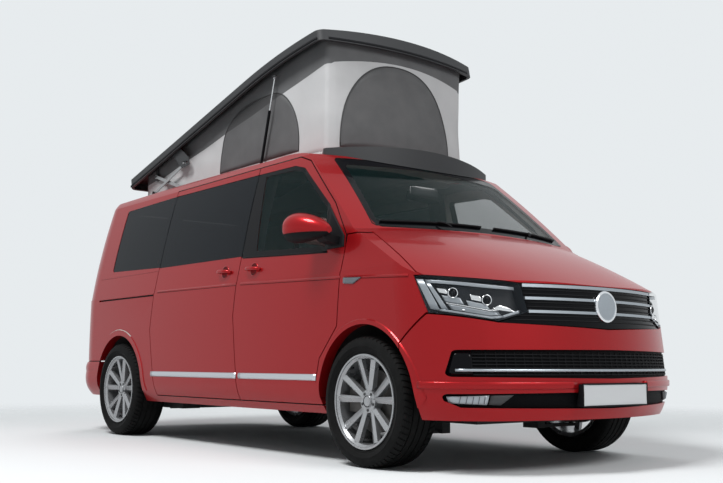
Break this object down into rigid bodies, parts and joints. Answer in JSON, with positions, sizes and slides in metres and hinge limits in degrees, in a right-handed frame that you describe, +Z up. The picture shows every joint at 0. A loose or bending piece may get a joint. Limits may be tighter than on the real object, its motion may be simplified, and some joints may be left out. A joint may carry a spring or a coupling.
{
  "type": "camper van with pop-up roof",
  "caption": "Passenger camper van with a tilted pop-up roof raised on a fabric tent, hinged doors, bonnet and tailgate, steered front wheels and a furnished cabin.",
  "frame": {"origin": "on the ground under the middle of the whole part", "axes": "+X forward, +Y to the van's left, +Z up"},
  "size_m": [4.909, 2.2928, 2.6682],
  "materials": {
    "paint": "gloss metallic red",
    "dark_paint": "dark grey",
    "under": "dark underbody coat",
    "glass": "clear",
    "dark_glass": "tinted",
    "tyre": "road tread",
    "alloy": "cast alloy",
    "cloth": "woven tent cloth",
    "steel": "plain",
    "iron": "cast",
    "plastic": "black",
    "chrome": "bright",
    "lamp": "clear lens",
    "red_lamp": "red lens",
    "seat": "woven",
    "wood": "light panel",
    "white": "blank plate"
  },
  "bodies": {
    "van": {"body_shell": "paint", "underframe": "under", "front_wings": "paint", "front_bumper": "paint", "rear_bumper": "paint", "grille": "plastic", "grille_bars": "chrome", "headlamps": "lamp", "lower_grilles": "plastic", "front_plate": "white", "sliding_door": "paint", "sliding_door_glass": "dark_glass", "side_windows": "dark_glass", "windscreen": "glass", "tail_lamps": "red_lamp", "roof_tent": "cloth", "roof_brackets": "steel", "roof_deflector": "dark_paint", "front_subframe": "under", "rear_axle": "under", "engine_block": "iron", "exhaust": "steel", "fuel_tank": "plastic", "front_seats": "seat", "rear_bench": "seat", "dashboard": "plastic", "steering_wheel": "plastic", "kitchen_cabinet": "wood"},
    "bonnet_body": {"bonnet": "paint"},
    "left_door": {"door_left": "paint", "door_glass_left": "glass", "mirror_left": "paint"},
    "right_door": {"door_right": "paint", "door_glass_right": "glass", "mirror_right": "paint"},
    "tailgate_body": {"tailgate": "paint", "tailgate_glass": "dark_glass"},
    "lift_arms": {"roof_lift_arms": "steel"},
    "lid": {"roof_lid": "dark_paint"},
    "brace_arms": {"roof_brace_arms": "steel"},
    "cylinders": {"strut_cylinders": "plastic"},
    "rods": {"strut_rods": "steel"},
    "knuckle_l": {"knuckle_left": "iron"},
    "knuckle_r": {"knuckle_right": "iron"},
    "wheel_front_left": {"tyre_front_left": "tyre", "rim_front_left": "alloy"},
    "wheel_rear_left": {"tyre_rear_left": "tyre", "rim_rear_left": "alloy"},
    "wheel_front_right": {"tyre_front_right": "tyre", "rim_front_right": "alloy"},
    "wheel_rear_right": {"tyre_rear_right": "tyre", "rim_rear_right": "alloy"}
  },
  "joints": [
    {"name": "steer_left", "type": "hinge", "parent": "van", "child": "knuckle_l", "pos_m": [1.544, 0.735, 0.343], "axis": [0, 0, 1], "range_deg": [-35, 35]},
    {"name": "spin_front_left", "type": "hinge", "parent": "knuckle_l", "child": "wheel_front_left", "pos_m": [1.544, 0.814, 0.343], "axis": [0, 1, 0], "continuous": true},
    {"name": "spin_rear_left", "type": "hinge", "parent": "van", "child": "wheel_rear_left", "pos_m": [-1.456, 0.814, 0.343], "axis": [0, 1, 0], "continuous": true},
    {"name": "door_left_swing", "type": "hinge", "parent": "van", "child": "left_door", "pos_m": [1.433, 0.92, 1], "axis": [0, 0, -1], "range_deg": [0, 67]},
    {"name": "steer_right", "type": "hinge", "parent": "van", "child": "knuckle_r", "pos_m": [1.544, -0.735, 0.343], "axis": [0, 0, 1], "range_deg": [-35, 35]},
    {"name": "spin_front_right", "type": "hinge", "parent": "knuckle_r", "child": "wheel_front_right", "pos_m": [1.544, -0.814, 0.343], "axis": [0, 1, 0], "continuous": true},
    {"name": "spin_rear_right", "type": "hinge", "parent": "van", "child": "wheel_rear_right", "pos_m": [-1.456, -0.814, 0.343], "axis": [0, 1, 0], "continuous": true},
    {"name": "door_right_swing", "type": "hinge", "parent": "van", "child": "right_door", "pos_m": [1.433, -0.92, 1], "axis": [0, 0, 1], "range_deg": [0, 67]},
    {"name": "bonnet_swing", "type": "hinge", "parent": "van", "child": "bonnet_body", "pos_m": [1.5, 0, 1.262], "axis": [0, -1, 0], "range_deg": [0, 50]},
    {"name": "tailgate_swing", "type": "hinge", "parent": "van", "child": "tailgate_body", "pos_m": [-2.1, 0, 1.85], "axis": [0, 1, 0], "range_deg": [0, 88]},
    {"name": "roof_lift", "type": "hinge", "parent": "van", "child": "lift_arms", "pos_m": [-1.105, 0, 1.885], "axis": [0, -1, 0], "range_deg": [0, 22.42]},
    {"name": "roof_fold", "type": "hinge", "parent": "lift_arms", "child": "lid", "pos_m": [-1.545, 0, 2.033], "axis": [0, 1, 0], "range_deg": [0, 34.65], "deforming": ["roof_tent"]},
    {"name": "brace_swing", "type": "hinge", "parent": "van", "child": "brace_arms", "pos_m": [-1.537, 0, 1.895], "axis": [0, 1, 0], "range_deg": [0, 32.95]},
    {"name": "strut_swing", "type": "hinge", "parent": "van", "child": "cylinders", "pos_m": [0.034, 0, 1.878], "axis": [0, 1, 0], "range_deg": [0, 72]},
    {"name": "strut_slide", "type": "slide", "parent": "cylinders", "child": "rods", "axis": [-0.2581, 0, -0.9661], "range_m": [0, 0.21]}
  ],
  "couplings": [
    {"joint": "steer_right", "follows": "steer_left", "ratio": 1},
    {"joint": "roof_lift", "follows": "roof_fold", "ratio": 0.64704},
    {"joint": "brace_swing", "follows": "roof_fold", "ratio": 0.95093},
    {"joint": "strut_swing", "follows": "roof_fold", "ratio": 2.0779},
    {"joint": "strut_slide", "follows": "roof_fold", "m_per_rad": 0.34724}
  ]
}
